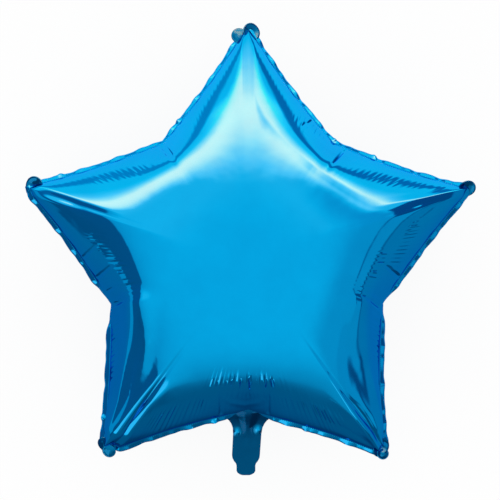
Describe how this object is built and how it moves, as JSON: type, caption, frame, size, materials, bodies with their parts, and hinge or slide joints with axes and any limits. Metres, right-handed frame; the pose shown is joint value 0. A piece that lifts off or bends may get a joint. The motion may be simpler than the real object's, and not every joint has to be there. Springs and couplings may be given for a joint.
{
  "type": "star foil balloon",
  "caption": "Inflated five-pointed star balloon of blue metallised film with a sealed rim, puckers and a flat filling tail, lying on its back.",
  "frame": {"origin": "middle of the small flat spot on the back crown, on which the balloon rests", "axes": "+Z out of the front film, square to the seam plane; +Y towards the top tip, away from the filling tail; +X to the right as seen from the front"},
  "size_m": [0.4216, 0.4227, 0.1491],
  "materials": {
    "blue_foil": "glossy blue metallised polyester film"
  },
  "bodies": {
    "root": {"balloon": "blue_foil"}
  },
  "joints": []
}
